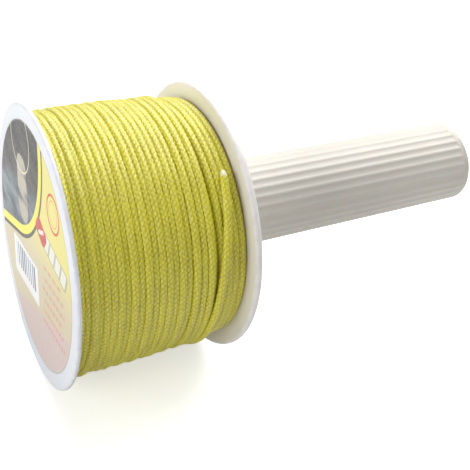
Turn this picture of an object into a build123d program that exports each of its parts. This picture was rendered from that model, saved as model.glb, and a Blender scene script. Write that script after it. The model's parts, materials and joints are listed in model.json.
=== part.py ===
from build123d import *
import os
from math import cos, radians, sin

# A hand line spool: two moulded flanges on a barrel hold a full winding of braided line, and the
# spool turns freely on a spindle that is fixed in a ribbed tubular handle.
#
# Frame, in millimetres: the spool lies on its two flange rims, +Z up, with the spin axis along X
# and the handle towards +X. The origin is on the surface it lies on, under the middle of its length.
# Every turned piece is drawn in a half section: u is the distance behind the front flange's outer
# face, v is the distance from the spin axis.

# Spool
FLANGE_R = 45.0
FRONT_FLANGE_T = 1.3
FRONT_RIM_ROUND = 0.5
REAR_FLANGE_T = 2.4
REAR_RIM_ROUND = 1.0
SPOOL_W = 57.5
SPIGOT_LEN = 4.0
SPIGOT_T = 2.0
HUB_R = 12.0
RIB_T = 1.6
RIB_COUNT = 6

# Barrel and line
BARREL_R = 23.8
BARREL_T = 2.0
LINE_D = 2.2
WINDING_R = 41.9
WINDING_FRONT_DROP = 0.6
WINDING_MIDDLE_DROP = 0.8
WINDING_REAR_DROP = 2.4
ANCHOR_HOLE_R = 1.5
ANCHOR_ANGLE = 250.0

# Spindle, bushes and retaining screw
SPINDLE_R = 5.0
RUNNING_GAP = 0.05
END_PLAY = 0.3
BUSH_R = 7.0
BUSH_COLLAR_R = 8.8
BUSH_COLLAR_T = 1.0
BUSH_LEN = 10.0
WELL_R = 9.4
WELL_DEPTH = 6.0
WASHER_T = 1.2
WASHER_R = 8.4
SCREW_R = 1.75
SCREW_LEN = 16.0
SCREW_HEAD_R = 3.8
SCREW_HEAD_H = 2.4
SCREW_CROWN_H = 1.4
SCREW_SLOT = (4.4, 1.0)
SCREW_SLOT_DEPTH = 1.3

# Hub cover and label
LABEL_R = 39.7
LABEL_T = 0.25
LABEL_GAP = 0.1
COVER_R = 10.5
COVER_T = 1.2
COVER_SKIRT_T = 1.1
COVER_SKIRT_LEN = 2.0

# Handle
HANDLE_R = 15.0
HANDLE_BORE_R = 12.2
FLUTE_COUNT = 30
FLUTE_CUT_R = 3.5
FLUTE_CENTRE_R = 18.22
FLUTE_EDGE_ROUND = 0.6
HANDLE_WALL = 8.0
HANDLE_GAP = 0.4
HEX_DEPTH = 5.0
HEX_R = 8.0
COLLAR_LEN = 0.6
COLLAR_RAMP = 1.2
CAP_T = 2.0
CAP_ROUND = 1.2
CAP_SKIRT_T = 1.8
CAP_SKIRT_LEN = 7.0
THRUST_WASHER_R = 11.5
THRUST_WASHER_T = 1.0
OVERALL_LENGTH = 166.6

# Places along the spin axis, behind the front face
INNER_FRONT = FRONT_FLANGE_T
INNER_REAR = SPOOL_W - REAR_FLANGE_T
SPINDLE_TIP = WELL_DEPTH - END_PLAY
HANDLE_START = SPOOL_W + HANDLE_GAP
CAP_START = OVERALL_LENGTH - CAP_T
REAR_RECESS = HANDLE_START - THRUST_WASHER_T - END_PLAY
HEX_START = HANDLE_START + HANDLE_WALL - HEX_DEPTH
ANCHOR_U = INNER_FRONT + SPIGOT_LEN + 2 * ANCHOR_HOLE_R
FRONT_X = -OVERALL_LENGTH / 2
SPIN_AXIS = Axis((0, 0, FLANGE_R), (1, 0, 0))
HALF_SECTION = Plane(origin=(FRONT_X, 0, FLANGE_R), x_dir=(1, 0, 0), z_dir=(0, -1, 0))


def across(u):
    """Plane square to the spin axis, u behind the front face; its x is the row's Y, its y is up."""
    return Plane(origin=(FRONT_X + u, 0, FLANGE_R), x_dir=(0, 1, 0), z_dir=(1, 0, 0))


def save(piece, name):
    """Label a finished piece and write it as its own STEP file."""
    piece.label = name
    export_step(piece, f"parts/{name}.step")


os.makedirs("parts", exist_ok=True)


def turned(*outline):
    """A solid of revolution about the spin axis, from the corners of its half section."""
    with BuildPart() as piece:
        with BuildSketch(HALF_SECTION):
            with BuildLine():
                Polyline(*outline, close=True)
            make_face()
        revolve(axis=SPIN_AXIS)
    return piece.part


def web_ribs(u_start, length):
    """Radial stiffeners between a flange's hub and the ring that the barrel is pressed on."""
    inner, outer = HUB_R - 0.5, BARREL_R - BARREL_T - SPIGOT_T + 0.5
    with BuildPart() as ribs:
        with BuildSketch(across(u_start)):
            with PolarLocations((inner + outer) / 2, RIB_COUNT):
                Rectangle(outer - inner, RIB_T)
        extrude(amount=length)
    return ribs.part


# Front flange: label recess outside, barrel ring and screw well inside
SPIGOT_OUT = BARREL_R - BARREL_T
SPIGOT_IN = SPIGOT_OUT - SPIGOT_T
BUSH_TAIL = WELL_DEPTH + BUSH_LEN
COVER_BACK = LABEL_T + COVER_T

front_disc = turned(
    (0, LABEL_R + LABEL_GAP), (0, FLANGE_R), (INNER_FRONT, FLANGE_R),
    (INNER_FRONT, SPIGOT_OUT), (INNER_FRONT + SPIGOT_LEN, SPIGOT_OUT), (INNER_FRONT + SPIGOT_LEN, SPIGOT_IN),
    (INNER_FRONT, SPIGOT_IN), (INNER_FRONT, HUB_R), (BUSH_TAIL, HUB_R), (BUSH_TAIL, BUSH_R),
    (WELL_DEPTH + BUSH_COLLAR_T, BUSH_R), (WELL_DEPTH + BUSH_COLLAR_T, BUSH_COLLAR_R),
    (WELL_DEPTH, BUSH_COLLAR_R), (WELL_DEPTH, WELL_R), (COVER_BACK, WELL_R), (COVER_BACK, COVER_R),
    (LABEL_T, COVER_R), (LABEL_T, LABEL_R + LABEL_GAP))
front_ribs = web_ribs(INNER_FRONT, SPIGOT_LEN)

with BuildPart() as front_flange:
    add(front_disc)
    add(front_ribs)
    rim_edges = front_flange.edges().filter_by(GeomType.CIRCLE)
    fillet(rim_edges.filter_by(lambda e: abs(e.radius - FLANGE_R) < 0.01), FRONT_RIM_ROUND)
save(front_flange.part, "front_flange")

# Rear flange: the same disc, with a recess for the thrust washer
REAR_BUSH_TAIL = REAR_RECESS - BUSH_LEN

rear_disc = turned(
    (INNER_REAR, FLANGE_R), (SPOOL_W, FLANGE_R), (SPOOL_W, HUB_R), (REAR_RECESS, HUB_R),
    (REAR_RECESS, BUSH_COLLAR_R), (REAR_RECESS - BUSH_COLLAR_T, BUSH_COLLAR_R),
    (REAR_RECESS - BUSH_COLLAR_T, BUSH_R), (REAR_BUSH_TAIL, BUSH_R), (REAR_BUSH_TAIL, HUB_R),
    (INNER_REAR, HUB_R), (INNER_REAR, SPIGOT_IN), (INNER_REAR - SPIGOT_LEN, SPIGOT_IN),
    (INNER_REAR - SPIGOT_LEN, SPIGOT_OUT), (INNER_REAR, SPIGOT_OUT))
rear_ribs = web_ribs(INNER_REAR - SPIGOT_LEN, SPIGOT_LEN)

with BuildPart() as rear_flange:
    add(rear_disc)
    add(rear_ribs)
    rim_edges = rear_flange.edges().filter_by(GeomType.CIRCLE)
    fillet(rim_edges.filter_by(lambda e: abs(e.radius - FLANGE_R) < 0.01), REAR_RIM_ROUND)
save(rear_flange.part, "rear_flange")

# Barrel, with the hole that the line's inner end is knotted through
ANCHOR_DIR = Vector(0, cos(radians(ANCHOR_ANGLE)), sin(radians(ANCHOR_ANGLE)))
ANCHOR_PLANE = Plane(origin=(FRONT_X + ANCHOR_U, 0, FLANGE_R), x_dir=(1, 0, 0), z_dir=ANCHOR_DIR)

with BuildPart() as barrel:
    with BuildSketch(across(INNER_FRONT)):
        Circle(BARREL_R)
        Circle(SPIGOT_OUT, mode=Mode.SUBTRACT)
    extrude(amount=INNER_REAR - INNER_FRONT)
    with BuildSketch(ANCHOR_PLANE):
        Circle(ANCHOR_HOLE_R)
    extrude(amount=BARREL_R + 1, mode=Mode.SUBTRACT)
save(barrel.part, "barrel")

# Flanged bushes that run on the spindle, one in each flange
BUSH_BORE = SPINDLE_R + RUNNING_GAP


def bush(collar_face, inward):
    """A collared bush: its collar's outer face at collar_face, its sleeve running inward (+1 or -1)."""
    collar_back = collar_face + inward * BUSH_COLLAR_T
    tail = collar_face + inward * BUSH_LEN
    return turned(
        (collar_face, BUSH_BORE), (collar_face, BUSH_COLLAR_R), (collar_back, BUSH_COLLAR_R),
        (collar_back, BUSH_R), (tail, BUSH_R), (tail, BUSH_BORE))


save(bush(WELL_DEPTH, 1), "front_bush")
save(bush(REAR_RECESS, -1), "rear_bush")

# Spindle: a plain rod with a screw hole in its tip and a hexagonal head held in the handle
with BuildPart() as spindle:
    with BuildSketch(across(SPINDLE_TIP)):
        Circle(SPINDLE_R)
        Circle(SCREW_R, mode=Mode.SUBTRACT)
    extrude(amount=SCREW_LEN)
    with BuildSketch(across(SPINDLE_TIP + SCREW_LEN)):
        Circle(SPINDLE_R)
    extrude(amount=HEX_START - SPINDLE_TIP - SCREW_LEN)
    with BuildSketch(across(HEX_START)):
        RegularPolygon(HEX_R, 6)
    extrude(amount=HEX_DEPTH)
save(spindle.part, "spindle")

# Thrust washer between the rear flange and the handle
save(turned(
    (HANDLE_START - THRUST_WASHER_T, SPINDLE_R), (HANDLE_START - THRUST_WASHER_T, THRUST_WASHER_R),
    (HANDLE_START, THRUST_WASHER_R), (HANDLE_START, SPINDLE_R)), "thrust_washer")

# Retaining washer on the spindle's tip
WASHER_FRONT = SPINDLE_TIP - WASHER_T
save(turned(
    (WASHER_FRONT, SCREW_R), (WASHER_FRONT, WASHER_R),
    (SPINDLE_TIP, WASHER_R), (SPINDLE_TIP, SCREW_R)), "retaining_washer")

# Retaining screw: pan head with a cross recess, plain shank with a pointed end
HEAD_TOP = WASHER_FRONT - SCREW_HEAD_H
SHANK_END = SPINDLE_TIP + SCREW_LEN - 1.0

with BuildPart() as retaining_screw:
    with BuildSketch(HALF_SECTION):
        with BuildLine():
            crown = ThreePointArc(
                (HEAD_TOP, 0), (HEAD_TOP + SCREW_CROWN_H / 4, SCREW_HEAD_R * 0.65),
                (HEAD_TOP + SCREW_CROWN_H, SCREW_HEAD_R))
            Polyline(
                crown @ 1, (WASHER_FRONT, SCREW_HEAD_R), (WASHER_FRONT, SCREW_R),
                (SHANK_END - 2 * SCREW_R, SCREW_R), (SHANK_END, 0), crown @ 0)
        make_face()
    revolve(axis=SPIN_AXIS)
    with BuildSketch(across(HEAD_TOP)):
        Rectangle(*SCREW_SLOT)
        Rectangle(*reversed(SCREW_SLOT))
    extrude(amount=SCREW_SLOT_DEPTH, mode=Mode.SUBTRACT)
save(retaining_screw.part, "retaining_screw")

# Hub cover: a snap-in disc that closes the screw well and backs the label
with BuildPart() as hub_cover:
    with BuildSketch(across(LABEL_T)):
        Circle(COVER_R)
    extrude(amount=COVER_T)
    with BuildSketch(across(COVER_BACK)):
        Circle(WELL_R)
        Circle(WELL_R - COVER_SKIRT_T, mode=Mode.SUBTRACT)
    extrude(amount=COVER_SKIRT_LEN)
save(hub_cover.part, "hub_cover")

# Label: a round sticker flush with the flange's rim
with BuildPart() as label:
    with BuildSketch(across(0)):
        Circle(LABEL_R)
    extrude(amount=LABEL_T)
save(label.part, "label")

# Winding: the outer shape of the full coil, a little lower towards the rear flange
with BuildPart() as line_winding:
    with BuildSketch(HALF_SECTION):
        with BuildLine():
            crest = ThreePointArc(
                (INNER_FRONT, WINDING_R - WINDING_FRONT_DROP), (SPOOL_W * 0.35, WINDING_R),
                (SPOOL_W * 0.7, WINDING_R - WINDING_MIDDLE_DROP))
            Polyline(
                crest @ 1, (INNER_REAR, WINDING_R - WINDING_REAR_DROP), (INNER_REAR, BARREL_R),
                (INNER_FRONT, BARREL_R), crest @ 0)
        make_face()
    revolve(axis=SPIN_AXIS)
save(line_winding.part, "line_winding")

# Line's free end, lying slantwise on the winding beside the rear flange
TAIL_TIP = (50.7, 124.0, 41.0)
TAIL_MIDDLE = (49.5, 144.0, 41.3)
TAIL_ROOT = (44.8, 164.0, 41.6)


def around(u, angle, radius):
    """A point u behind the front face, at an angle about the spin axis from +Y towards +Z."""
    return Vector(FRONT_X + u, radius * cos(radians(angle)), FLANGE_R + radius * sin(radians(angle)))


with BuildPart() as line_tail:
    with BuildLine() as tail_path:
        ThreePointArc(around(*TAIL_TIP), around(*TAIL_MIDDLE), around(*TAIL_ROOT))
    with BuildSketch(Plane(origin=tail_path.line @ 0, z_dir=tail_path.line % 0)):
        Circle(LINE_D / 2)
    sweep(path=tail_path.line)
save(line_tail.part, "line_tail")

# Knot inside the barrel, with the short length of line that passes through the hole
KNOT_R = 2.4
KNOT_CENTRE_R = SPIGOT_OUT - KNOT_R - 0.2

with BuildPart() as anchor_knot:
    with BuildSketch(ANCHOR_PLANE.offset(KNOT_CENTRE_R)):
        Circle(LINE_D / 2)
    extrude(amount=BARREL_R + 0.6 - KNOT_CENTRE_R)
    with Locations(ANCHOR_PLANE.offset(KNOT_CENTRE_R)):
        Sphere(KNOT_R)
save(anchor_knot.part, "anchor_knot")

# Handle grip: a fluted tube with a thick front wall and a smooth collar at its far end
with BuildPart() as handle_grip:
    with BuildSketch(across(HANDLE_START)) as fluted:
        Circle(HANDLE_R)
        with PolarLocations(FLUTE_CENTRE_R, FLUTE_COUNT):
            Circle(FLUTE_CUT_R, mode=Mode.SUBTRACT)
        fillet(fluted.vertices(), FLUTE_EDGE_ROUND)
    extrude(amount=CAP_START - HANDLE_START)
    with BuildSketch(HALF_SECTION):
        with BuildLine():
            Polyline(
                (CAP_START - COLLAR_LEN - COLLAR_RAMP, FLUTE_CENTRE_R - FLUTE_CUT_R - 0.1),
                (CAP_START - COLLAR_LEN, HANDLE_R), (CAP_START, HANDLE_R), (CAP_START, HANDLE_BORE_R),
                (CAP_START - COLLAR_LEN - COLLAR_RAMP, HANDLE_BORE_R), close=True)
        make_face()
    revolve(axis=SPIN_AXIS)
    with BuildSketch(across(HANDLE_START + HANDLE_WALL)):
        Circle(HANDLE_BORE_R)
    extrude(amount=CAP_START - HANDLE_START - HANDLE_WALL, mode=Mode.SUBTRACT)
    with BuildSketch(across(HEX_START)):
        RegularPolygon(HEX_R, 6)
    extrude(amount=HEX_DEPTH, mode=Mode.SUBTRACT)
    with BuildSketch(across(HANDLE_START)):
        Circle(SPINDLE_R)
    extrude(amount=HANDLE_WALL, mode=Mode.SUBTRACT)
save(handle_grip.part, "handle_grip")

# End cap, pressed into the handle's open end
with BuildPart() as end_cap:
    with BuildSketch(across(CAP_START)):
        Circle(HANDLE_R)
    extrude(amount=CAP_T)
    cap_rim = end_cap.edges().filter_by(GeomType.CIRCLE).sort_by(Axis.X)[-1]
    fillet(cap_rim, CAP_ROUND)
    with BuildSketch(across(CAP_START - CAP_SKIRT_LEN)):
        Circle(HANDLE_BORE_R)
        Circle(HANDLE_BORE_R - CAP_SKIRT_T, mode=Mode.SUBTRACT)
    extrude(amount=CAP_SKIRT_LEN)
save(end_cap.part, "end_cap")
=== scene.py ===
import json
from math import cos, pi, radians, sin

import bpy
import numpy as np
from bpy.props import FloatProperty, FloatVectorProperty, IntProperty, PointerProperty
from mathutils import Matrix, Vector


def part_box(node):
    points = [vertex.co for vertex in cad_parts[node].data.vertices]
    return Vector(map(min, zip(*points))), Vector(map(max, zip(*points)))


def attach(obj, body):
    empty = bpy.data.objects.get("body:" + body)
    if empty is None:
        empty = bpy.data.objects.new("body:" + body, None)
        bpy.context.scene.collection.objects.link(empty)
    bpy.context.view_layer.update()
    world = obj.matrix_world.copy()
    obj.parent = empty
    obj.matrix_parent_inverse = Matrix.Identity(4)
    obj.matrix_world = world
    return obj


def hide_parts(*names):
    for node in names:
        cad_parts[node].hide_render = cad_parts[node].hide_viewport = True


bl_info = {
    "name": "Hand line spool",
    "version": (1, 0, 0),
    "blender": (4, 5, 0),
    "location": "View3D > Sidebar > Hand spool",
    "description": "Builds a hand spool of braided fishing line around its packed frame",
    "category": "Object",
}

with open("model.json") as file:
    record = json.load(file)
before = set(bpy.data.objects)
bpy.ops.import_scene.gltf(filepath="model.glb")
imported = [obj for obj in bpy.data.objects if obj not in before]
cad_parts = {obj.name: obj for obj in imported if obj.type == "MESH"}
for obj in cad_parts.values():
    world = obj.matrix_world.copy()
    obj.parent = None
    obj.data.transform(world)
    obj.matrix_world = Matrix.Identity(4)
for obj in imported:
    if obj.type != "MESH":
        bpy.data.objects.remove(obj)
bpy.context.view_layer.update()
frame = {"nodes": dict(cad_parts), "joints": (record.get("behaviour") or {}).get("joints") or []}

# Places that the frame gives, in metres
SPIN_HEIGHT = frame["joints"][0]["pos_m"][2]
FRONT_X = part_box("front_flange")[0].x
FLANGE_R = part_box("front_flange")[1].z - SPIN_HEIGHT
LABEL_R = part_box("label")[1].z - SPIN_HEIGHT
MM = 0.001

# The winding, in millimetres behind the front face and from the spin axis
WALL_FRONT, WALL_REAR = 1.3, 55.1
ANCHOR_BEHIND, ANCHOR_ANGLE, ANCHOR_R = 8.3, 250.0, 23.8
FIRST_LAYER_R = 24.9
FULL_LAYERS = 8
TURNS_A_LAYER = 22.0
CLIMB_TURNS = 0.3
INNER_STEP, OUTER_STEP = 22.5, 15.0
# How thick one layer is along the spool: the line was guided by hand, so it isn't even
LAYER_AT = [1.3, 11.0, 20.0, 30.0, 38.0, 43.0, 46.0, 50.0, 55.1]
LAYER_THICKNESS = [1.912, 1.965, 1.988, 1.95, 1.905, 1.94, 2.08, 2.03, 1.93]
# The last layer's turns from the front: place behind the front face, and how proud each one lies
LAST_TURNS = [
    (2.5, 0.0), (4.5, 0.1), (6.1, 0.34), (7.9, -0.42), (9.9, 0.1), (11.8, 0.2),
    (13.8, 0.34), (15.9, -0.4), (18.0, 0.36), (20.1, -0.35), (22.5, 0.32), (24.6, -0.25),
    (26.7, 0.26), (28.9, 0.3), (31.0, -0.1), (33.1, 0.32), (35.3, -0.4), (37.7, 0.36),
    (40.2, -0.2), (42.5, 0.0), (44.7, -0.5),
]  # fmt: skip
LAST_TURNS_ANGLE = 168.0
# How far a hand's drift moves the outer turns along the spool and outwards
DRIFT_ALONG, DRIFT_OUT = 0.12, 0.06
# The free end: angle, place behind the front face and centre radius
TAIL = [
    (174.0, 44.4, 41.5), (164.0, 44.6, 41.6), (157.0, 46.1, 41.55), (150.0, 48.0, 41.4),
    (143.0, 49.6, 41.3), (136.0, 50.4, 41.15), (124.0, 50.7, 41.0),
]  # fmt: skip
TAIL_LEAVES_OVER = 60.0
# How far inside its control points a smooth turn runs, as a share of the radius
INNER_INSIDE, OUTER_INSIDE = 0.981, 0.9915

# The braid's section has more corners on its outer side. Its half height and half width are shares
# of the diameter, because a turn under tension lies a little flat.
SECTION = np.radians([0, 18, 36, 54, 72, 90, 108, 144, 180, 216, 252, 270, 288, 306, 324, 342])
HALF_HEIGHT, HALF_WIDTH = 0.475, 0.565
STRANDS = 8
STRAND_LEAN = 19.0
STITCH_WIDTH, STITCH_LENGTH = 0.46, 0.6
GROOVE = -0.6
# Metres between the tube's rings: braid that shows, plain line under it, hidden line
SHOWN_RING, NEAR_RING, HIDDEN_RING = 0.00034, 0.0015, 0.0118
# Behind this place the layer under the last one shows
LAST_LAYER_ENDS = 41.0

# The camera stands in front of the spool and a little above it
CAMERA_PLACE = (-0.1413, -0.2005, 0.2226)
CAMERA_RIGHT, CAMERA_UP = (0.8900, -0.4390, 0.1233), (0.1222, 0.4901, 0.8630)
CAMERA_SHIFT = (0.0343, -0.3057)
# Soft lights: place, aim, size, and power as a share of the key light's
LIGHTS = {
    "key": ((0.26, 0.2, 0.52), (-0.03, 0, 0.06), 0.6, 1.0),
    "front": ((-0.75, -0.14, 0.28), (-0.06, 0, 0.045), 0.5, 0.68),
    "back": ((-0.02, 0.55, 0.4), (-0.06, 0, 0.08), 0.4, 0.42),
    "side": ((0.1, -0.6, 0.42), (0.0, 0, 0.045), 0.4, 0.06),
}
FLOOR_REACH, FLOOR_RINGS, FLOOR_SIDES = 4.0, 6, 48


class HandSpoolLine(bpy.types.PropertyGroup):
    """Sizes and colours of the braided line."""

    diameter: FloatProperty(
        name="Diameter", description="Thickness of the line", default=0.0022, unit="LENGTH"
    )
    length: FloatProperty(
        name="Length", description="Whole length of the line", default=40.0, unit="LENGTH"
    )
    period: FloatProperty(
        name="Weave period",
        description="Distance along the line from one stitch to the next",
        default=0.0016,
        unit="LENGTH",
    )
    relief: FloatProperty(
        name="Weave relief",
        description="How far a strand stands out of the braid",
        default=0.00025,
        unit="LENGTH",
    )
    seed: IntProperty(name="Lay", description="Changes how unevenly the turns lie", default=7)
    colour: FloatVectorProperty(
        name="Colour", subtype="COLOR", default=(0.76, 0.71, 0.016), description="Raised strands"
    )
    # Painted shade: the darker, more orange colour laid in the grooves between strands
    groove_shade_colour: FloatVectorProperty(
        name="Deep colour", subtype="COLOR", default=(0.47, 0.39, 0.003), description="Grooves"
    )
    seal_colour: FloatVectorProperty(
        name="Sealed end", subtype="COLOR", default=(0.82, 0.82, 0.62), description="Melted tip"
    )


class HandSpoolBody(bpy.types.PropertyGroup):
    """Colours and finish of the moulded pieces."""

    front_colour: FloatVectorProperty(
        name="Front flange", subtype="COLOR", default=(0.80, 0.83, 0.88), description="Cool white"
    )
    rear_colour: FloatVectorProperty(
        name="Rear flange", subtype="COLOR", default=(0.82, 0.81, 0.79), description="Warm white"
    )
    grip_colour: FloatVectorProperty(
        name="Grip", subtype="COLOR", default=(0.62, 0.59, 0.53), description="Satin warm white"
    )
    inner_colour: FloatVectorProperty(
        name="Inner parts", subtype="COLOR", default=(0.7, 0.69, 0.66), description="Natural nylon"
    )
    steel_colour: FloatVectorProperty(
        name="Steel", subtype="COLOR", default=(0.62, 0.62, 0.63), description="Zinc plated"
    )
    roughness: FloatProperty(
        name="Roughness", description="Finish of the moulded pieces", default=0.38, min=0, max=1
    )


class HandSpoolLabel(bpy.types.PropertyGroup):
    """Colours of the printed sticker."""

    paper: FloatVectorProperty(
        name="Upper ground", subtype="COLOR", default=(0.84, 0.76, 0.25), description="Yellow"
    )
    middle: FloatVectorProperty(
        name="Middle ground", subtype="COLOR", default=(0.70, 0.62, 0.44), description="Sand"
    )
    lower: FloatVectorProperty(
        name="Lower ground", subtype="COLOR", default=(0.70, 0.57, 0.53), description="Pink sand"
    )
    accent: FloatVectorProperty(
        name="Accent", subtype="COLOR", default=(0.62, 0.08, 0.06), description="Printed red"
    )
    dark: FloatVectorProperty(
        name="Picture",
        subtype="COLOR",
        default=(0.030, 0.028, 0.024),
        description="Ground of the picture",
    )


class HandSpoolStudio(bpy.types.PropertyGroup):
    """Lights and backdrop."""

    key_power: FloatProperty(
        name="Key light", description="Power of the light above", default=4.4, unit="POWER"
    )
    fill: FloatProperty(name="Fill", description="Brightness of the surroundings", default=0.34)
    floor_colour: FloatVectorProperty(
        name="Floor", subtype="COLOR", default=(0.93, 0.93, 0.93), description="Plain pale floor"
    )
    focal_length: FloatProperty(
        name="Lens", description="Camera's focal length in millimetres", default=64.39
    )


# ---------------------------------------------------------------- shader graphs


class Graph:
    """Short calls that add nodes to a node tree and wire them."""

    def __init__(self, tree):
        self.tree = tree

    def wire(self, socket, value):
        if isinstance(value, bpy.types.NodeSocket):
            self.tree.links.new(value, socket)
        elif socket.type == "RGBA" and len(value) == 3:
            socket.default_value = (*value, 1)
        else:
            socket.default_value = value

    def node(self, kind, inputs=None, **settings):
        made = self.tree.nodes.new(kind if kind.startswith("Node") else "ShaderNode" + kind)
        for name, value in settings.items():
            setattr(made, name, value)
        for socket, value in (inputs or {}).items():
            self.wire(made.inputs[socket], value)
        return made

    def math(self, operation, *values, clamp=False):
        made = self.node("Math", dict(enumerate(values)), operation=operation, use_clamp=clamp)
        return made.outputs[0]

    def vector(self, operation, *values):
        return self.node("VectorMath", dict(enumerate(values)), operation=operation).outputs[0]

    def scaled(self, vector, factor):
        return self.node("VectorMath", {0: vector, "Scale": factor}, operation="SCALE").outputs[0]

    def mix(self, factor, first, second):
        inputs = {0: factor, 6: first, 7: second}
        return self.node("Mix", inputs, data_type="RGBA").outputs[2]

    def ramp(self, value, low, high, to_low=0.0, to_high=1.0):
        """value, from low to high, as a smooth step from to_low to to_high."""
        limits = {"From Min": low, "From Max": high, "To Min": to_low, "To Max": to_high}
        inputs = {"Value": value, **limits}
        return self.node("MapRange", inputs, interpolation_type="SMOOTHSTEP").outputs[0]

    def noise(self, vector, scale, detail):
        made = self.node("TexNoise", {"Vector": vector, "Scale": scale, "Detail": detail})
        return made.outputs["Fac"]

    def axes(self, vector):
        made = self.node("SeparateXYZ", {0: vector})
        return made.outputs[0], made.outputs[1], made.outputs[2]

    def group(self, tree, **inputs):
        made = self.node("Group", node_tree=tree)
        for name, value in inputs.items():
            self.wire(made.inputs[name.replace("_", " ").capitalize()], value)
        return made.outputs


def new_group(name, inputs, outputs):
    """An empty node group with named sockets, its graph, and its input and output nodes."""
    tree = bpy.data.node_groups.new(name, "ShaderNodeTree")
    for direction, sockets in (("INPUT", inputs), ("OUTPUT", outputs)):
        for label, kind in sockets.items():
            tree.interface.new_socket(label, in_out=direction, socket_type="NodeSocket" + kind)
    graph = Graph(tree)
    return graph, graph.node("NodeGroupInput").outputs, graph.node("NodeGroupOutput").inputs


def moulded_group():
    """Moulded plastic: faint colour drift, a fine grain and handling marks."""
    if "moulded plastic" in bpy.data.node_groups:
        return bpy.data.node_groups["moulded plastic"]
    graph, given, out = new_group(
        "moulded plastic",
        {
            "Point": "Vector", "Colour": "Color", "Shade": "Color",
            "Finish": "Float", "Grain": "Float",
        },
        {"Colour": "Color", "Roughness": "Float", "Height": "Float"},
    )  # fmt: skip
    point = graph.scaled(given["Point"], 1000.0)
    drift = graph.noise(point, 0.045, 2.0)
    marks = graph.noise(graph.vector("MULTIPLY", point, (0.15, 1.0, 1.0)), 0.9, 4.0)
    grain = graph.noise(point, given["Grain"], 2.0)
    speck = graph.ramp(graph.noise(point, 1.7, 5.0), 0.66, 0.78)
    shaded = graph.mix(graph.ramp(drift, 0.3, 0.72, 0.0, 0.6), given["Colour"], given["Shade"])
    speckled = graph.mix(graph.math("MULTIPLY", speck, 0.16), shaded, given["Shade"])
    graph.wire(out["Colour"], speckled)
    uneven = graph.math("MULTIPLY", graph.ramp(marks, 0.35, 0.7), 0.12)
    graph.wire(out["Roughness"], graph.math("ADD", given["Finish"], uneven))
    graph.wire(out["Height"], graph.math("MULTIPLY_ADD", marks, 0.35, grain))
    return graph.tree


def ring_group():
    """A ring round the spin axis, as a mask: 1 on it, 0 away from it, broken up by wear."""
    if "worn ring" in bpy.data.node_groups:
        return bpy.data.node_groups["worn ring"]
    graph, given, out = new_group(
        "worn ring",
        {"Point": "Vector", "Radius": "Float", "Width": "Float", "Breaks": "Float"},
        {"Mask": "Float"},
    )
    point = graph.scaled(graph.vector("SUBTRACT", given["Point"], (0, 0, SPIN_HEIGHT)), 1000.0)
    around = graph.vector("MULTIPLY", point, (0.0, 1.0, 1.0))
    length = graph.node("VectorMath", {0: around}, operation="LENGTH").outputs["Value"]
    away = graph.math("ABSOLUTE", graph.math("SUBTRACT", length, given["Radius"]))
    near = graph.math("SUBTRACT", 1.0, graph.math("DIVIDE", away, given["Width"]), clamp=True)
    broken = graph.ramp(graph.noise(point, 0.35, 4.0), 0.42, 0.62)
    lost = graph.math("MULTIPLY", broken, given["Breaks"])
    kept = graph.math("SUBTRACT", 1.0, lost, clamp=True)
    graph.wire(out["Mask"], graph.math("MULTIPLY", near, kept))
    return graph.tree


def yarn_group():
    """Yarn colour and gloss by strand height: painted groove shade, painted crest highlights."""
    if "braided yarn" in bpy.data.node_groups:
        return bpy.data.node_groups["braided yarn"]
    graph, given, out = new_group(
        "braided yarn",
        {"Point": "Vector", "Rise": "Float", "Fibre": "Float", "Colour": "Color", "Deep": "Color"},
        {"Colour": "Color", "Roughness": "Float", "Height": "Float"},
    )
    point = graph.scaled(given["Point"], 1000.0)
    drift = graph.noise(point, 0.12, 3.0)
    fuzz = graph.noise(point, 3.2, 3.0)
    strand = graph.math("MULTIPLY_ADD", graph.math("SINE", given["Fibre"]), 0.5, 0.5)
    # Painted shade: lower strands and grooves take the darker groove colour, mixed with random
    # tone drift
    lift = graph.ramp(given["Rise"], 0.2, 0.95)
    uneven = graph.math("MULTIPLY_ADD", graph.math("SUBTRACT", drift, 0.5), 0.6, lift, clamp=True)
    body = graph.mix(uneven, given["Deep"], given["Colour"])
    # Painted highlight: raised crests are paled toward white, broken up by the fuzz noise
    pale = graph.mix(0.28, given["Colour"], (1.0, 0.98, 0.6))
    crest = graph.ramp(given["Rise"], 0.62, 0.95)
    painted_crest_highlight = graph.math("MULTIPLY", crest, graph.ramp(fuzz, 0.3, 0.6))
    graph.wire(out["Colour"], graph.mix(graph.math("MULTIPLY", painted_crest_highlight, 0.6), body, pale))
    graph.wire(out["Roughness"], graph.ramp(fuzz, 0.3, 0.7, 0.24, 0.36))
    graph.wire(out["Height"], graph.math("MULTIPLY_ADD", fuzz, 0.5, strand))
    return graph.tree


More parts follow.
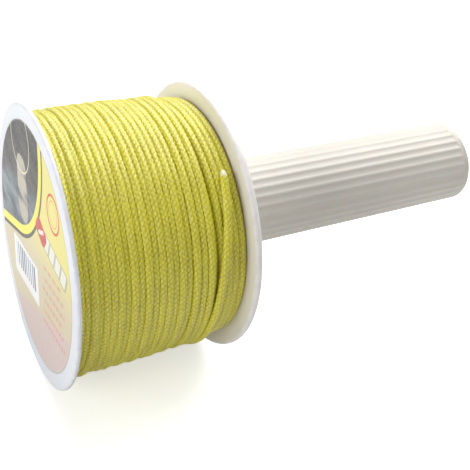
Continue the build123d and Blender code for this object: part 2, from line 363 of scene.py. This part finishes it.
def panel_group():
    """A rounded, turned and sheared rectangle in the sticker's plane, as a mask."""
    if "rounded panel" in bpy.data.node_groups:
        return bpy.data.node_groups["rounded panel"]
    graph, given, out = new_group(
        "rounded panel",
        {
            "Point": "Vector", "Centre": "Vector", "Half": "Vector",
            "Angle": "Float", "Slant": "Float", "Corner": "Float", "Grow": "Float",
        },
        {"Mask": "Float", "Place": "Vector"},
    )  # fmt: skip
    moved = graph.vector("SUBTRACT", given["Point"], given["Centre"])
    turned = graph.node(
        "VectorRotate",
        {"Vector": moved, "Angle": graph.math("MULTIPLY", given["Angle"], -pi / 180)},
        rotation_type="Z_AXIS",
    ).outputs[0]
    right, up, _ = graph.axes(turned)
    right = graph.math("SUBTRACT", right, graph.math("MULTIPLY", given["Slant"], up))
    place = graph.node("CombineXYZ", {0: right, 1: up}).outputs[0]
    half = graph.vector("ADD", given["Half"], given["Grow"])
    corner = graph.math("ADD", given["Corner"], given["Grow"])
    inset = graph.vector("SUBTRACT", half, corner)
    over = graph.vector("SUBTRACT", graph.vector("ABSOLUTE", place), inset)
    outside = graph.vector("MULTIPLY", graph.vector("MAXIMUM", over, (0, 0, 0)), (1.0, 1.0, 0.0))
    length = graph.node("VectorMath", {0: outside}, operation="LENGTH").outputs["Value"]
    over_right, over_up, _ = graph.axes(over)
    inside = graph.math("MINIMUM", graph.math("MAXIMUM", over_right, over_up), 0.0)
    distance = graph.math("SUBTRACT", graph.math("ADD", length, inside), corner)
    graph.wire(out["Mask"], graph.ramp(distance, -0.12, 0.12, 1.0, 0.0))
    graph.wire(out["Place"], place)
    return graph.tree


def surface(name, **constants):
    """A material with one Principled BSDF: material, graph, shader and object coordinates."""
    material = bpy.data.materials.new(name)
    material.use_nodes = True
    graph = Graph(material.node_tree)
    shader = material.node_tree.nodes["Principled BSDF"]
    for socket, value in constants.items():
        shader.inputs[socket.replace("_", " ")].default_value = value
    return material, graph, shader, graph.node("TexCoord").outputs["Object"]


def bump(graph, shader, height, distance, strength=1.0):
    made = graph.node("Bump", {"Height": height, "Distance": distance, "Strength": strength})
    graph.wire(shader.inputs["Normal"], made.outputs[0])


def darker(colour, share):
    return tuple(channel * share for channel in colour)


def moulded(name, colour, finish, grain=2.4, ring=None, depth=0.00002, **constants):
    """Moulded plastic in a colour. ring is the radius and width in mm of a worn edge."""
    material, graph, shader, point = surface(name, **constants)
    made = graph.group(
        moulded_group(), point=point, colour=colour,
        shade=darker(colour, 0.93), finish=finish, grain=grain,
    )  # fmt: skip
    shown = made["Colour"]
    if ring:
        edge = graph.group(ring_group(), point=point, radius=ring[0], width=ring[1], breaks=0.8)
        shown = graph.mix(edge["Mask"], shown, darker(colour, 0.86))
    graph.wire(shader.inputs["Base Color"], shown)
    graph.wire(shader.inputs["Roughness"], made["Roughness"])
    bump(graph, shader, made["Height"], depth, 0.5)
    return material


def dress(node, material):
    """Gives a CAD node its material."""
    slots = frame["nodes"][node].material_slots
    for entry in slots:
        entry.material = material
    if not slots:
        raise RuntimeError(f"{node} has no material slot")


# ---------------------------------------------------------------- the line


def on_spool(behind, radius, angle):
    """Points in the frame from the place behind the front face, the radius and the angle."""
    behind, radius, angle = np.broadcast_arrays(behind, radius, np.radians(angle))
    across, up = radius * np.cos(angle) * MM, radius * np.sin(angle) * MM
    return np.stack([FRONT_X + behind * MM, across, SPIN_HEIGHT + up], axis=-1)


def layer_radius(behind, layer):
    return FIRST_LAYER_R + layer * np.interp(behind, LAYER_AT, LAYER_THICKNESS)


def level_wind(turns, layer, near, far):
    """Place behind the front face, and layer as it climbs to the next, along one layer."""
    share = np.clip((turns - CLIMB_TURNS) / (TURNS_A_LAYER - 2 * CLIMB_TURNS), 0, 1)
    start, end = (near, far) if layer % 2 == 0 else (far, near)
    climb = np.clip((turns - TURNS_A_LAYER + CLIMB_TURNS) / CLIMB_TURNS, 0, 1)
    return start + (end - start) * share, layer + climb * climb * (3 - 2 * climb)


def settle(behind, radius, diameter):
    """Pushes turns that lie too close apart, column by column round the spool, as tension does."""
    columns = round(360 / OUTER_STEP)
    rows = -(-len(behind) // columns)
    filled = np.full((rows * columns, 2), 1e6)
    filled[:, 0] += np.arange(rows * columns) * 1e3
    filled[: len(behind)] = np.stack([behind, radius], axis=1)
    wanted = filled[: len(behind)].copy()
    floor = layer_radius(behind, FULL_LAYERS - 1) - 0.25
    closest = 0.95 * diameter
    passes, push_share, pull_share, even_share = 160, 0.25, 0.06, 0.12
    for _ in range(passes):
        grid = filled.reshape(rows, columns, 2).transpose(1, 0, 2)
        gap = grid[:, :, None] - grid[:, None]
        distance = np.linalg.norm(gap, axis=-1) + np.eye(rows) * 1e6
        push = np.maximum(closest - distance, 0) / distance * push_share
        grid = grid + (push[..., None] * gap).sum(axis=2)
        filled = grid.transpose(1, 0, 2).reshape(-1, 2)
        line = filled[: len(behind)]
        line[:] += pull_share * (wanted - line)
        line[1:-1] += even_share * (line[:-2] + line[2:] - 2 * line[1:-1])
        line[:, 0] = np.clip(line[:, 0], WALL_FRONT + diameter / 2, WALL_REAR - diameter / 2)
        line[:, 1] = np.maximum(line[:, 1], floor)
    return filled[: len(behind), 0], filled[: len(behind), 1]


def wind(line):
    """The route from the knot to the free end, and the angles where its last two layers start."""
    random = np.random.default_rng(line.seed)
    diameter = line.diameter / MM
    near, far = WALL_FRONT + diameter / 2 + 0.05, WALL_REAR - diameter / 2 - 0.05
    last_turns = len(LAST_TURNS) - 0.4
    outer_count = round((TURNS_A_LAYER + last_turns) * 360 / OUTER_STEP)
    outer_angle = TAIL[-1][0] + OUTER_STEP * np.arange(outer_count - 1, -1, -1)
    layer_start = outer_angle[0]
    last_start = layer_start - TURNS_A_LAYER * 360
    turns = (layer_start - outer_angle) / 360
    behind, level = level_wind(turns, FULL_LAYERS - 1, near, far)
    radius = layer_radius(behind, level)
    # The last layer follows its own lay, then leaves it as the free end
    last = outer_angle < last_start
    place = len(LAST_TURNS) - 1 - (outer_angle - LAST_TURNS_ANGLE) / 360
    lay, proud = np.array(LAST_TURNS).T
    order = np.arange(len(LAST_TURNS))
    quarters = np.arange(0, outer_angle[0] + 90, 90)
    drift = np.interp(outer_angle, quarters, random.normal(0, 1, outer_count)[: len(quarters)])
    behind[last] = np.interp(place, order, lay)[last]
    radius[last] = layer_radius(behind, FULL_LAYERS)[last] + np.interp(place, order, proud)[last]
    behind += DRIFT_ALONG * drift
    radius += DRIFT_OUT * drift[::-1]
    tail_angle, tail_behind, tail_radius = np.array(TAIL[::-1]).T
    leaves_at = [*tail_angle, tail_angle[-1] + TAIL_LEAVES_OVER]
    lift = np.interp(outer_angle, leaves_at, [1] * len(TAIL) + [0])
    behind += lift * (np.interp(outer_angle, tail_angle, tail_behind) - behind)
    radius += lift * (np.interp(outer_angle, tail_angle, tail_radius) - radius)
    behind, radius = settle(behind, radius, diameter)
    # The hidden layers, evenly laid, from the knot inside the barrel out through its hole
    hidden_angle = (FULL_LAYERS - 1) * TURNS_A_LAYER * 360
    hidden_angle += (ANCHOR_ANGLE - layer_start - hidden_angle + 180) % 360 - 180
    count = round(hidden_angle / INNER_STEP)
    spun = np.arange(1, count) * hidden_angle / count
    hidden_turns = spun / hidden_angle * (FULL_LAYERS - 1) * TURNS_A_LAYER
    layers = np.minimum((hidden_turns / TURNS_A_LAYER).astype(int), FULL_LAYERS - 2)
    inner = np.array(
        [
            level_wind(turn - layer * TURNS_A_LAYER, layer, near if layer else ANCHOR_BEHIND, far)
            for turn, layer in zip(hidden_turns, layers)
        ]
    )
    inner_radius = layer_radius(inner[:, 0], inner[:, 1])
    hole_radius = np.array([ANCHOR_R - 2.8, ANCHOR_R - 0.6, FIRST_LAYER_R])
    hole_turned = np.array([0.0, 0.0, 5.0])
    route = [
        on_spool(ANCHOR_BEHIND, hole_radius, ANCHOR_ANGLE - hole_turned),
        on_spool(inner[:, 0], inner_radius / INNER_INSIDE, ANCHOR_ANGLE - spun),
        on_spool(behind, radius / OUTER_INSIDE, outer_angle),
    ]
    total = ANCHOR_ANGLE - hidden_angle
    return np.concatenate(route), total, total - TURNS_A_LAYER * 360


def follow(points, name, closed=False):
    """The smooth line along a route: a NURBS spline that has its points as control points."""
    curve = bpy.data.curves.new(name, "CURVE")
    curve.dimensions = "3D"
    spline = curve.splines.new("NURBS")
    spline.points.add(len(points) - 1)
    spline.points.foreach_set("co", np.hstack([points, np.ones((len(points), 1))]).ravel())
    spline.order_u = 3
    spline.use_endpoint_u = not closed
    spline.use_cyclic_u = closed
    spline.resolution_u = 16
    route = bpy.data.objects.new(name, curve)
    bpy.context.scene.collection.objects.link(route)
    bpy.context.view_layer.update()
    evaluated = route.evaluated_get(bpy.context.evaluated_depsgraph_get())
    mesh = bpy.data.meshes.new_from_object(evaluated)
    found = np.zeros(len(mesh.vertices) * 3)
    mesh.vertices.foreach_get("co", found)
    bpy.data.objects.remove(route)
    bpy.data.curves.remove(curve)
    bpy.data.meshes.remove(mesh)
    return found.reshape(-1, 3)


def stitches(along, around, period, diameter):
    """A round braid's height, from GROOVE to 1 on a strand, and the distance across the strand."""
    width = pi * diameter / STRANDS
    column = around / (2 * pi) * STRANDS
    height = np.full(np.broadcast(along, around).shape, GROOVE)
    across = np.zeros_like(height)
    for shift in (-1, 0, 1):
        strand = np.round(column) + shift
        side = (column - strand) * width
        odd = strand % 2
        phase = along / period + 0.5 * odd
        tilt = radians(STRAND_LEAN) * (1 - 2 * odd)
        for step in (-1, 0, 1):
            ahead = (phase - np.round(phase) - step) * period
            cross = side * np.cos(tilt) - ahead * np.sin(tilt)
            lengthways = side * np.sin(tilt) + ahead * np.cos(tilt)
            bulge = 1 - (cross / (STITCH_WIDTH * width)) ** 2
            bulge -= (lengthways / (STITCH_LENGTH * period)) ** 2
            higher = bulge > height
            height = np.where(higher, bulge, height)
            across = np.where(higher, cross, across)
    return height, across


def braided_tube(name, centres, detail, settings, closed=False, sealed=False):
    """A braided tube along centres. detail is 1 where the braid's relief shows, and else 0."""
    diameter, period, relief = settings.diameter, settings.period, settings.relief
    if closed:
        ahead = np.roll(centres, -1, axis=0) - np.roll(centres, 1, axis=0)
    else:
        ahead = np.gradient(centres, axis=0)
    ahead /= np.linalg.norm(ahead, axis=1, keepdims=True)
    sideways = np.array([1.0, 0.0, 0.0]) - ahead[:, :1] * ahead
    sideways /= np.linalg.norm(sideways, axis=1, keepdims=True)
    outward = np.cross(sideways, ahead)
    steps = np.linalg.norm(np.diff(centres, axis=0), axis=1)
    along = np.concatenate([[0], np.cumsum(steps)])
    twist = 2 * pi * along / 0.085 + 1.2 * np.sin(along / 0.37)
    around = SECTION[None, :] + twist[:, None]
    height, across = stitches(along[:, None], around, period, diameter)
    shown = detail[:, None]
    from_end = along[-1] - along
    seal = np.clip(1 - from_end / (1.3 * diameter), 0, 1)[:, None] if sealed else 0 * shown
    raised = relief * (height - 0.1) * shown * (1 - seal)
    narrowed = (1 - 0.45 * seal) * np.sqrt(np.clip(1 - (seal * 0.98) ** 6, 0.02, 1))
    tall = (diameter * HALF_HEIGHT + raised) * narrowed
    wide = (diameter * HALF_WIDTH + raised) * narrowed
    co = (
        centres[:, None]
        + outward[:, None] * (np.cos(SECTION)[None, :] * tall)[..., None]
        + sideways[:, None] * (np.sin(SECTION)[None, :] * wide)[..., None]
    )
    rings, sides = co.shape[:2]
    ring = np.arange(rings if closed else rings - 1)[:, None] * sides
    following = (ring + sides) % (rings * sides)
    corner, beside = np.arange(sides)[None, :], np.roll(np.arange(sides), -1)[None, :]
    corners = [ring + corner, ring + beside, following + beside, following + corner]
    quads = np.stack(corners, axis=-1).reshape(-1, 4)
    mesh = bpy.data.meshes.new(name)
    caps = [] if closed else [np.arange(sides)[::-1], (rings - 1) * sides + np.arange(sides)]
    loops = np.concatenate([quads.ravel(), *caps]).astype(np.int32)
    totals = np.concatenate([np.full(len(quads), 4), np.full(len(caps), sides)]).astype(np.int32)
    mesh.vertices.add(rings * sides)
    mesh.vertices.foreach_set("co", co.ravel())
    mesh.loops.add(len(loops))
    mesh.loops.foreach_set("vertex_index", loops)
    mesh.polygons.add(len(totals))
    starts = np.concatenate([[0], np.cumsum(totals)[:-1]]).astype(np.int32)
    mesh.polygons.foreach_set("loop_start", starts)
    mesh.update(calc_edges=True)
    mesh.shade_smooth()
    rise = (height - GROOVE) / (1 - GROOVE) * shown + 0.5 * (1 - shown)
    for label, values in (
        ("rise", rise),
        ("fibre", across / MM * 26.0),
        ("seal", seal + 0 * height),
    ):
        attribute = mesh.attributes.new(label, "FLOAT", "POINT")
        attribute.data.foreach_set("value", values.astype(np.float32).ravel())
    if mesh.validate():
        raise RuntimeError(f"{name} has faulty faces")
    tube = bpy.data.objects.new(name, mesh)
    bpy.context.scene.collection.objects.link(tube)
    return tube


def spread_rings(path, layer_start, last_start):
    """Centres of the tube's rings, closest where the braid shows, and 1 for each that shows."""
    off_axis = path - np.array([0, 0, SPIN_HEIGHT])
    angle = np.degrees(np.unwrap(np.arctan2(off_axis[:, 2], off_axis[:, 1])))
    angle += ANCHOR_ANGLE - angle[0]
    behind = (path[:, 0] - FRONT_X) / MM
    outermost = (angle < last_start) | ((angle < layer_start) & (behind > LAST_LAYER_ENDS))
    plain = np.where(angle < layer_start, NEAR_RING, HIDDEN_RING)
    step = np.where(outermost, SHOWN_RING, plain)
    pieces = np.linalg.norm(np.diff(path, axis=0), axis=1)
    along = np.concatenate([[0], np.cumsum(pieces)])
    density = np.concatenate([[0], np.cumsum(pieces / np.minimum(step[1:], step[:-1]))])
    rings = np.arange(0, density[-1], 1.0)
    places = np.append(np.interp(rings, density, along), along[-1])
    centres = np.stack([np.interp(places, along, path[:, i]) for i in range(3)], axis=1)
    return centres, np.interp(places, along, np.where(outermost, 1.0, 0.0))


def knot_loop(line):
    """A trefoil loop of the line where the frame has the stopper knot, inside the barrel."""
    low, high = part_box("anchor_knot")
    middle, reach = (low + high) / 2, (high - low).length / (2 * 3**0.5)
    turn = np.arange(0, 2 * pi, pi / 12)
    across = np.sin(turn) + 2 * np.sin(2 * turn)
    upwards = np.cos(turn) - 2 * np.cos(2 * turn)
    knot = np.stack([across, upwards, -0.9 * np.sin(3 * turn)], axis=1)
    return knot / 3 * (reach - line.diameter * 0.55) + np.array(middle)


def line_material(line):
    """Neon braided yarn with painted groove shade, painted crest highlights and a melted end."""
    if "braided line" in bpy.data.materials:
        return bpy.data.materials["braided line"]
    material, graph, shader, point = surface(
        "braided line", Sheen_Weight=0.15, Sheen_Roughness=0.35, Specular_IOR_Level=1.0,
        Subsurface_Weight=0.2, Subsurface_Scale=0.001, Subsurface_Radius=(1.0, 0.9, 0.25),
    )  # fmt: skip
    made = graph.group(
        yarn_group(),
        point=point,
        rise=graph.node("Attribute", attribute_name="rise").outputs["Fac"],
        fibre=graph.node("Attribute", attribute_name="fibre").outputs["Fac"],
        colour=line.colour,
        deep=line.groove_shade_colour,
    )
    seal = graph.node("Attribute", attribute_name="seal").outputs["Fac"]
    shown = graph.mix(graph.ramp(seal, 0.15, 0.6), made["Colour"], line.seal_colour)
    graph.wire(shader.inputs["Base Color"], shown)
    graph.wire(shader.inputs["Roughness"], made["Roughness"])
    bump(graph, shader, made["Height"], 0.00004, 0.6)
    return material


# ---------------------------------------------------------------- the sticker's print


class Sticker:
    """Paints plain shapes, placed in millimetres to the right of the sticker's middle and up."""

    def __init__(self, graph, point, colours):
        self.graph, self.colours = graph, colours
        _, across, height = graph.axes(graph.scaled(point, 1000.0))
        self.up = graph.math("SUBTRACT", height, SPIN_HEIGHT / MM)
        self.right = graph.math("MULTIPLY", across, -1.0)
        self.flat = graph.node("CombineXYZ", {0: self.right, 1: self.up}).outputs[0]
        self.shown = colours.middle

    def paint(self, mask, colour):
        self.shown = self.graph.mix(mask, self.shown, colour)

    def panel(self, centre, half, angle=0.0, slant=0.0, corner=0.6, grow=0.0):
        return self.graph.group(
            panel_group(), point=self.flat, centre=(*centre, 0), half=(*half, 0),
            angle=angle, slant=slant, corner=corner, grow=grow,
        )  # fmt: skip

    def ring(self, centre, radius, width):
        outer = self.panel(centre, (radius, radius), corner=radius)
        inner = self.panel(centre, (radius, radius), corner=radius, grow=-width)
        return self.graph.math("SUBTRACT", outer["Mask"], inner["Mask"])

    def slope(self, tilt):
        """Height above a slanting line through the sticker's middle."""
        return self.graph.math("MULTIPLY_ADD", self.right, tilt, self.up)

    def waves(self, panel, pitch):
        """Waves along a panel."""
        place = self.graph.axes(panel["Place"])[0]
        return self.graph.math("SINE", self.graph.math("MULTIPLY", place, pitch))

    def ground(self):
        """Yellow above, sand in the middle and pinkish sand below."""
        self.paint(self.graph.ramp(self.slope(-0.2), -8.0, 12.0), self.colours.paper)
        self.paint(self.graph.ramp(self.slope(-0.53), -27.0, -24.0, 1.0, 0.0), self.colours.lower)

    def picture(self):
        """An abstract shore, with a yellow band and a dark outline round it."""
        graph = self.graph
        inside = {"centre": (-46.9, 26.1), "half": (50.0, 40.0), "angle": 25.0, "corner": 34.5}
        self.paint(self.panel(**inside, grow=4.3)["Mask"], (0.1, 0.09, 0.075))
        self.paint(self.panel(**inside, grow=3.0)["Mask"], (0.93, 0.85, 0.12))
        swell = graph.noise(graph.vector("MULTIPLY", self.flat, (0.6, 1.6, 1.0)), 0.11, 5.0)
        water = graph.mix(graph.ramp(swell, 0.35, 0.65), (0.075, 0.095, 0.115), (0.27, 0.31, 0.34))
        sky = graph.mix(graph.ramp(swell, 0.3, 0.7), self.colours.dark, (0.085, 0.08, 0.072))
        horizon = graph.math("MULTIPLY_ADD", swell, 9.0, self.slope(-0.3))
        shore = graph.mix(graph.ramp(horizon, 18.0, 26.0), water, sky)
        block = self.panel((-13.0, 12.5), (5.5, 11.5), angle=14.0, corner=5.0)
        rock = graph.math("MULTIPLY", block["Mask"], graph.ramp(swell, 0.34, 0.5))
        shore = graph.mix(rock, shore, (0.52, 0.48, 0.38))
        shore = graph.mix(self.ring((-17.0, 28.5), 11.0, 0.45), shore, (0.85, 0.83, 0.62))
        self.paint(self.panel(**inside)["Mask"], shore)

    def badge(self):
        """A ring in a ring."""
        centre = (19.0, 26.0)
        self.paint(self.ring(centre, 6.1, 0.75), darker(self.colours.accent, 1.15))
        self.paint(self.ring(centre, 4.1, 0.3), (0.8, 0.35, 0.2))

    def pennant(self):
        """A pale striped bar with a red head and a spark on it."""
        graph, slant = self.graph, 0.25
        shape = {"centre": (20.8, 11.4), "half": (12.4, 2.8), "angle": 2.0, "corner": 0.8}
        bar = self.panel(**shape, slant=slant)
        stripes = graph.ramp(self.waves(bar, 1.15), 0.55, 0.85)
        self.paint(self.panel(**shape, slant=slant, grow=0.45)["Mask"], (0.45, 0.42, 0.33))
        self.paint(bar["Mask"], graph.mix(stripes, (0.86, 0.85, 0.72), (0.55, 0.52, 0.44)))
        head = self.panel((8.2, 11.3), (5.0, 3.4), angle=-14.0, slant=slant, corner=2.2)
        self.paint(head["Mask"], self.colours.accent)
        spark = self.panel((8.2, 11.2), (3.0, 0.7), angle=32.0, corner=0.6)
        self.paint(spark["Mask"], (0.88, 0.8, 0.7))

    def bar_panel(self):
        """White, with plain bars of uneven width."""
        graph, angle = self.graph, 14.5
        white = self.panel((-7.0, -15.8), (14.6, 6.9), angle=angle, corner=0.5)
        self.paint(white["Mask"], (0.9, 0.9, 0.9))
        bars = self.panel((-7.2, -14.6), (11.6, 4.4), angle=angle, corner=0.2)
        beat = graph.math("MULTIPLY_ADD", self.waves(bars, 4.7), 0.55, self.waves(bars, 2.55))
        inked = graph.math("MULTIPLY", bars["Mask"], graph.ramp(beat, 0.05, 0.3))
        self.paint(inked, (0.17, 0.2, 0.3))

    def rules(self):
        """Thin broken red lines."""
        graph = self.graph
        for row in range(6):
            centre = (21.0 + 0.6 * row, 3.4 - 3.9 * row)
            rule = self.panel(centre, (9.2 + 1.1 * (row % 3), 0.6), angle=16.0, corner=0.3)
            gaps = graph.ramp(self.waves(rule, 1.3 + 0.23 * row), -0.75, -0.4, 0.0, 0.55)
            self.paint(graph.math("MULTIPLY", rule["Mask"], gaps), (0.78, 0.24, 0.2))


# ---------------------------------------------------------------- operators


class HANDSPOOL_OT_camera(bpy.types.Operator):
    """Sets the camera in front of the spool, a little above it"""

    bl_idname = "handspool.camera"
    bl_label = "Camera"

    def execute(self, context):
        data = bpy.data.cameras.new("camera")
        data.lens = context.scene.hand_spool_studio.focal_length
        data.shift_x, data.shift_y = CAMERA_SHIFT
        data.clip_start, data.clip_end = 0.01, 20.0
        camera = bpy.data.objects.new("camera", data)
        context.scene.collection.objects.link(camera)
        right = Vector(CAMERA_RIGHT).normalized()
        back = right.cross(Vector(CAMERA_UP)).normalized()
        turned = Matrix((right, back.cross(right), back)).transposed().to_4x4()
        camera.matrix_world = Matrix.Translation(CAMERA_PLACE) @ turned
        context.scene.camera = camera
        return {"FINISHED"}


class HANDSPOOL_OT_line(bpy.types.Operator):
    """Winds the braided line on the barrel, from its knot to its free end"""

    bl_idname = "handspool.line"
    bl_label = "Braided line"

    def execute(self, context):
        line = context.scene.hand_spool_line
        route, layer_start, last_start = wind(line)
        path = follow(route, "line_route")
        centres, detail = spread_rings(path, layer_start, last_start)
        tube = braided_tube("braided_line", centres, detail, line, sealed=True)
        tube.data.materials.append(line_material(line))
        # The stopper knot, under the hole that the line goes through
        stopper_path = follow(knot_loop(line), "knot_route", closed=True)
        stopper = braided_tube(
            "stopper_knot", stopper_path, np.ones(len(stopper_path)), line, closed=True
        )
        stopper.data.materials.append(line_material(line))
        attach(stopper, "spool")
        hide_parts("anchor_knot")
        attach(tube, "spool")
        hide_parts("line_winding", "line_tail")
        on_spool(ANCHOR_BEHIND, ANCHOR_R, ANCHOR_ANGLE)
        return {"FINISHED"}


class HANDSPOOL_OT_flanges(bpy.types.Operator):
    """Finishes the two flanges and the barrel between them"""

    bl_idname = "handspool.flanges"
    bl_label = "Flanges and barrel"

    def execute(self, context):
        body = context.scene.hand_spool_body
        rim = (FLANGE_R / MM - 0.4, 0.8)
        front = moulded(
            "front flange", body.front_colour, body.roughness, ring=rim,
            Subsurface_Weight=0.08, Subsurface_Scale=0.004, Coat_Weight=0.15, Coat_Roughness=0.25,
        )  # fmt: skip
        rear = moulded(
            "rear flange", body.rear_colour, body.roughness, ring=rim,
            Subsurface_Weight=0.12, Subsurface_Scale=0.005, Coat_Weight=0.2, Coat_Roughness=0.2,
        )  # fmt: skip
        dress("front_flange", front)
        dress("rear_flange", rear)
        dress("barrel", moulded("barrel", body.inner_colour, 0.5, ring=(ANCHOR_R, 0.3)))
        return {"FINISHED"}


class HANDSPOOL_OT_label(bpy.types.Operator):
    """Prints the round sticker with plain shapes"""

    bl_idname = "handspool.label"
    bl_label = "Sticker"

    def execute(self, context):
        material, graph, shader, point = surface(
            "printed sticker", Coat_Weight=0.06, Coat_Roughness=0.3, Specular_IOR_Level=0.18
        )
        sticker = Sticker(graph, point, context.scene.hand_spool_label)
        sticker.ground()
        sticker.picture()
        sticker.badge()
        sticker.pennant()
        sticker.bar_panel()
        sticker.rules()
        # Edge of the sticker, slightly darker, and handling marks over all of it
        rim = graph.group(ring_group(), point=point, radius=LABEL_R / MM, width=0.5, breaks=0.5)
        sticker.paint(rim["Mask"], (0.55, 0.5, 0.42))
        worn = graph.group(
            moulded_group(), point=point, colour=sticker.shown,
            shade=(0.72, 0.7, 0.66), finish=0.3, grain=1.4,
        )  # fmt: skip
        graph.wire(shader.inputs["Base Color"], graph.mix(0.08, sticker.shown, worn["Colour"]))
        graph.wire(shader.inputs["Roughness"], worn["Roughness"])
        bump(graph, shader, graph.noise(graph.scaled(point, 1000.0), 0.16, 2.0), 0.0002, 0.5)
        dress("label", material)
        return {"FINISHED"}


class HANDSPOOL_OT_handle(bpy.types.Operator):
    """Finishes the ribbed grip and its rounded end cap"""

    bl_idname = "handspool.handle"
    bl_label = "Handle"

    def execute(self, context):
        body = context.scene.hand_spool_body
        soft = {"Subsurface_Weight": 0.1, "Subsurface_Scale": 0.004}
        rough = body.roughness + 0.08
        grip = moulded("grip", body.grip_colour, rough, grain=3.0, depth=0.00003, **soft)
        ring = (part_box("end_cap")[1].y / MM - 0.2, 0.5)
        cap = moulded("end cap", body.grip_colour, body.roughness, ring=ring, **soft)
        dress("handle_grip", grip)
        dress("end_cap", cap)
        return {"FINISHED"}


class HANDSPOOL_OT_bearings(bpy.types.Operator):
    """Finishes the spindle, its bushes and washers, the screw and the hub cover"""

    bl_idname = "handspool.bearings"
    bl_label = "Spindle and bearings"

    def execute(self, context):
        body = context.scene.hand_spool_body
        dress("spindle", moulded("spindle", body.inner_colour, 0.42))
        dress("thrust_washer", moulded("thrust washer", darker(body.inner_colour, 1.08), 0.35))
        dress("hub_cover", moulded("hub cover", body.rear_colour, 0.45))
        bush = moulded("bush", darker(body.inner_colour, 0.95), 0.4, grain=3.5)
        dress("front_bush", bush)
        dress("rear_bush", bush)
        steel, graph, shader, point = surface("zinc plated steel", Metallic=1.0)
        made = graph.group(
            moulded_group(), point=point, colour=body.steel_colour,
            shade=darker(body.steel_colour, 0.8), finish=0.28, grain=6.0,
        )  # fmt: skip
        graph.wire(shader.inputs["Base Color"], made["Colour"])
        graph.wire(shader.inputs["Roughness"], made["Roughness"])
        bump(graph, shader, made["Height"], 0.00001, 0.4)
        dress("retaining_washer", steel)
        dress("retaining_screw", steel)
        return {"FINISHED"}


class HANDSPOOL_OT_stage(bpy.types.Operator):
    """Lays a plain pale floor and sets soft studio lights"""

    bl_idname = "handspool.stage"
    bl_label = "Floor and lights"

    def execute(self, context):
        studio = context.scene.hand_spool_studio
        verts, faces = [(0, 0, 0)], []
        for ring in range(1, FLOOR_RINGS + 1):
            radius = FLOOR_REACH * ring / FLOOR_RINGS
            low, high = len(verts) - FLOOR_SIDES, len(verts)
            for side in range(FLOOR_SIDES):
                turned, beside = 2 * pi * side / FLOOR_SIDES, (side + 1) % FLOOR_SIDES
                verts.append((radius * cos(turned), radius * sin(turned), 0))
                if ring == 1:
                    faces.append((0, high + side, high + beside))
                else:
                    faces.append((low + side, high + side, high + beside, low + beside))
        mesh = bpy.data.meshes.new("floor")
        mesh.from_pydata(verts, [], faces)
        floor = bpy.data.objects.new("floor", mesh)
        context.scene.collection.objects.link(floor)
        material, graph, shader, _ = surface(
            "pale floor", Roughness=0.9, Specular_IOR_Level=0.1, Emission_Color=(1, 1, 1, 1)
        )
        seen = graph.node("LightPath").outputs["Is Camera Ray"]
        colour = tuple(studio.floor_colour)
        graph.wire(shader.inputs["Base Color"], graph.mix(seen, darker(colour, 0.8), colour))
        graph.wire(shader.inputs["Emission Strength"], graph.math("MULTIPLY", seen, 0.5))
        mesh.materials.append(material)
        world = bpy.data.worlds.new("studio")
        world.use_nodes = True
        ground = world.node_tree.nodes["Background"]
        ground.inputs["Color"].default_value = (1.0, 1.0, 1.0, 1)
        ground.inputs["Strength"].default_value = studio.fill
        context.scene.world = world
        for name, (place, aim, size, share) in LIGHTS.items():
            data = bpy.data.lights.new(name, "AREA")
            data.size, data.energy = size, studio.key_power * share
            light = bpy.data.objects.new(name, data)
            light.location = place
            towards = Vector(aim) - Vector(place)
            light.rotation_euler = towards.to_track_quat("-Z", "Y").to_euler()
            context.scene.collection.objects.link(light)
        context.scene.view_settings.view_transform = "Standard"
        return {"FINISHED"}


OPERATORS = (
    HANDSPOOL_OT_camera,
    HANDSPOOL_OT_line,
    HANDSPOOL_OT_flanges,
    HANDSPOOL_OT_label,
    HANDSPOOL_OT_handle,
    HANDSPOOL_OT_bearings,
    HANDSPOOL_OT_stage,
)


class HANDSPOOL_PT_sidebar(bpy.types.Panel):
    """Lists the settings and the steps that build the spool"""

    bl_idname = "HANDSPOOL_PT_sidebar"
    bl_label = "Hand line spool"
    bl_space_type = "VIEW_3D"
    bl_region_type = "UI"
    bl_category = "Hand spool"

    def draw(self, context):
        for name in SETTINGS:
            box = self.layout.box()
            settings = getattr(context.scene, name)
            for entry in settings.bl_rna.properties:
                if entry.identifier not in ("rna_type", "name"):
                    box.prop(settings, entry.identifier)
        for operator in OPERATORS:
            self.layout.operator(operator.bl_idname)


SETTINGS = {
    "hand_spool_line": HandSpoolLine,
    "hand_spool_body": HandSpoolBody,
    "hand_spool_label": HandSpoolLabel,
    "hand_spool_studio": HandSpoolStudio,
}
CLASSES = (*SETTINGS.values(), *OPERATORS, HANDSPOOL_PT_sidebar)


def register():
    for entry in CLASSES:
        bpy.utils.register_class(entry)
    for name, kind in SETTINGS.items():
        setattr(bpy.types.Scene, name, PointerProperty(type=kind))


def unregister():
    for name in SETTINGS:
        delattr(bpy.types.Scene, name)
    for entry in reversed(CLASSES):
        bpy.utils.unregister_class(entry)


def main():
    register()
    for operator in OPERATORS:
        group, name = operator.bl_idname.split(".")
        getattr(getattr(bpy.ops, group), name)()


if __name__ == "__main__":
    main()
